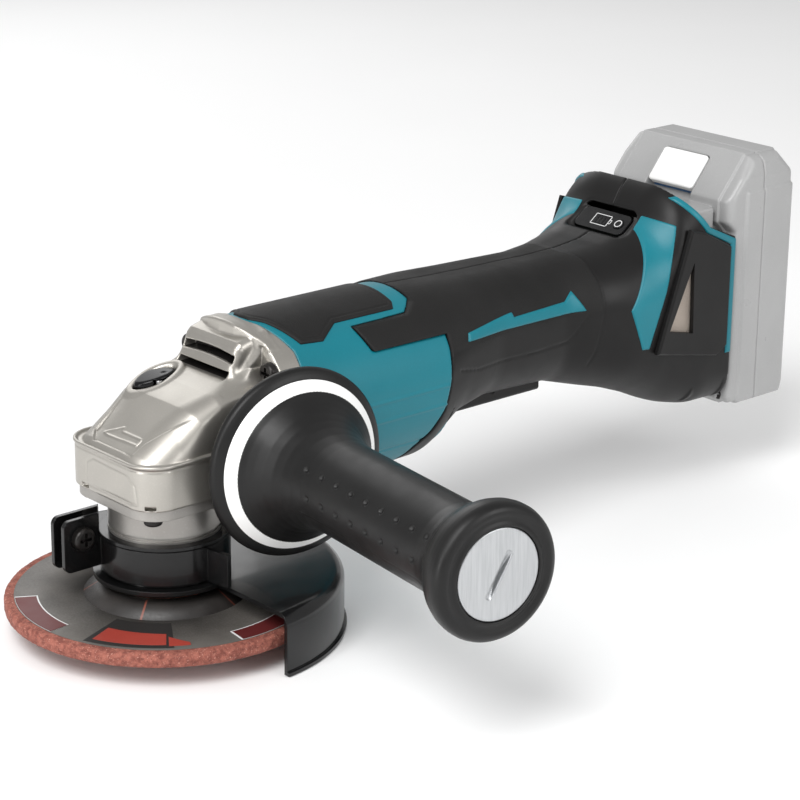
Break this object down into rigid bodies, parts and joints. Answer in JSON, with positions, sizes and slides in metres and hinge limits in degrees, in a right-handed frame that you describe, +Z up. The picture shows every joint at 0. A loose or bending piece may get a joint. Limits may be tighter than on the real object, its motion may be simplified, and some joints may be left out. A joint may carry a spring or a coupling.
{
  "type": "cordless angle grinder",
  "caption": "Cordless angle grinder with die-cast gear head, swinging wheel guard, side handle, paddle switch and slide-on battery.",
  "frame": {"origin": "centre of the spindle nose's end face, on the spindle axis", "axes": "+Z up along the spindle, away from the wheel; +X back along the body to the battery; -Y towards the side handle"},
  "size_m": [0.383, 0.2433, 0.1495],
  "materials": {
    "satin_alloy": "satin cast, lacquered",
    "black_plastic": "moulded, light grain",
    "soft_grip": "textured soft grip",
    "blue_green_plastic": "moulded, satin",
    "steel": "machined",
    "blackened_steel": "blackened, screws and flanges",
    "black_paint": "gloss enamel",
    "abrasive": "bonded abrasive with a printed label",
    "white_plastic": "moulded",
    "grey_plastic": "moulded, pale grey",
    "silver_plastic": "silver cap",
    "copper": "enamelled copper wire",
    "lamination": "electrical steel",
    "magnet": "plated magnets",
    "board": "printed board and potting",
    "cell": "cell sleeves",
    "lead": "insulated leads",
    "mesh_steel": "fine woven mesh",
    "brass": "contacts"
  },
  "bodies": {
    "tool_body": {"gear_housing": "satin_alloy", "bearing_box": "satin_alloy", "bearing_box_screws": "blackened_steel", "gear_housing_screws": "blackened_steel", "needle_bearing": "steel", "spindle_ball_bearing": "steel", "bearing_retainer": "steel", "motor_housing": "blue_green_plastic", "front_overmould": "soft_grip", "handle_left": "black_plastic", "handle_right": "black_plastic", "housing_screws": "blackened_steel", "side_accents": "blue_green_plastic", "rear_trim": "blue_green_plastic", "stator_core": "lamination", "stator_windings": "copper", "rotor_bearing_front": "steel", "rotor_bearing_rear": "steel", "baffle_ring": "black_plastic", "controller": "board", "motor_leads": "lead", "terminal_block": "black_plastic", "switch_unit": "black_plastic", "indicator_panel": "black_plastic", "paddle_pin": "steel", "shaft_lock_spring": "steel", "paddle_spring": "steel"},
    "spindle_unit": {"spindle": "steel", "bevel_gear": "steel", "inner_flange": "blackened_steel"},
    "wheel": {"grinding_wheel": "abrasive"},
    "nut": {"lock_nut": "blackened_steel"},
    "rotor": {"rotor_shaft": "steel", "rotor_core": "lamination", "rotor_magnets": "magnet", "cooling_fan": "black_plastic", "pinion": "steel"},
    "shaft_lock": {"shaft_lock_button": "black_plastic", "shaft_lock_pin": "steel"},
    "guard": {"wheel_guard": "black_paint", "clamp_band": "black_paint", "clamp_screw": "blackened_steel"},
    "paddle": {"paddle_lever": "black_plastic"},
    "lock_off": {"lock_off_lever": "black_plastic"},
    "check_button": {"indicator_button": "black_plastic"},
    "cover_left": {"dust_cover_left": "black_plastic", "dust_mesh_left": "mesh_steel"},
    "cover_right": {"dust_cover_right": "black_plastic", "dust_mesh_right": "mesh_steel"},
    "side_handle": {"side_handle_bolt": "steel", "side_handle_grip": "soft_grip", "side_handle_ring": "white_plastic", "side_handle_cap": "silver_plastic"},
    "battery": {"battery_case_front": "grey_plastic", "battery_case_back": "grey_plastic", "battery_cells": "cell", "battery_board": "board", "battery_terminals": "brass", "battery_case_screws": "blackened_steel"},
    "latch": {"battery_latch": "white_plastic"}
  },
  "joints": [
    {"name": "spindle_spin", "type": "hinge", "parent": "tool_body", "child": "spindle_unit", "pos_m": [0, 0, 0], "axis": [0, 0, 1], "continuous": true},
    {"name": "wheel_removal", "type": "slide", "parent": "spindle_unit", "child": "wheel", "axis": [0, 0, -1], "range_m": [0, 0.03]},
    {"name": "nut_removal", "type": "slide", "parent": "wheel", "child": "nut", "axis": [0, 0, -1], "range_m": [0, 0.02]},
    {"name": "rotor_spin", "type": "hinge", "parent": "tool_body", "child": "rotor", "pos_m": [0, 0, 0.071], "axis": [1, 0, 0], "continuous": true},
    {"name": "shaft_lock_press", "type": "slide", "parent": "tool_body", "child": "shaft_lock", "axis": [0, 0, -1], "range_m": [0, 0.0035], "stiffness_N_per_m": 900, "springref_m": -0.003, "deforming": ["shaft_lock_spring"]},
    {"name": "guard_swing", "type": "hinge", "parent": "tool_body", "child": "guard", "pos_m": [0, 0, 0], "axis": [0, 0, 1], "range_deg": [-90, 90]},
    {"name": "paddle_press", "type": "hinge", "parent": "tool_body", "child": "paddle", "pos_m": [0.139, 0, 0.056], "axis": [0, -1, 0], "range_deg": [0, 4.5], "stiffness_Nm_per_rad": 1.2, "springref_deg": -8.59, "deforming": ["paddle_spring"]},
    {"name": "lock_off_swing", "type": "hinge", "parent": "paddle", "child": "lock_off", "pos_m": [0.16, 0, 0.055], "axis": [0, 1, 0], "range_deg": [0, 25], "stiffness_Nm_per_rad": 0.02, "springref_deg": -11.46},
    {"name": "check_button_press", "type": "slide", "parent": "tool_body", "child": "check_button", "axis": [0.6, 0, -0.8], "range_m": [0, 0.0006], "stiffness_N_per_m": 600, "springref_m": -0.0008},
    {"name": "cover_left_removal", "type": "slide", "parent": "tool_body", "child": "cover_left", "axis": [0, -1, 0], "range_m": [0, 0.015]},
    {"name": "cover_right_removal", "type": "slide", "parent": "tool_body", "child": "cover_right", "axis": [0, 1, 0], "range_m": [0, 0.015]},
    {"name": "side_handle_removal", "type": "slide", "parent": "tool_body", "child": "side_handle", "axis": [-0.1357, -0.9907, 0], "range_m": [0, 0.02]},
    {"name": "battery_slide", "type": "slide", "parent": "tool_body", "child": "battery", "axis": [0, 0, 1], "range_m": [0, 0.115]},
    {"name": "latch_slide", "type": "slide", "parent": "battery", "child": "latch", "axis": [-0.6441, 0, -0.7649], "range_m": [0, 0.0042], "stiffness_N_per_m": 400, "springref_m": -0.003}
  ],
  "couplings": [
    {"joint": "rotor_spin", "follows": "spindle_spin", "ratio": 3.8}
  ]
}
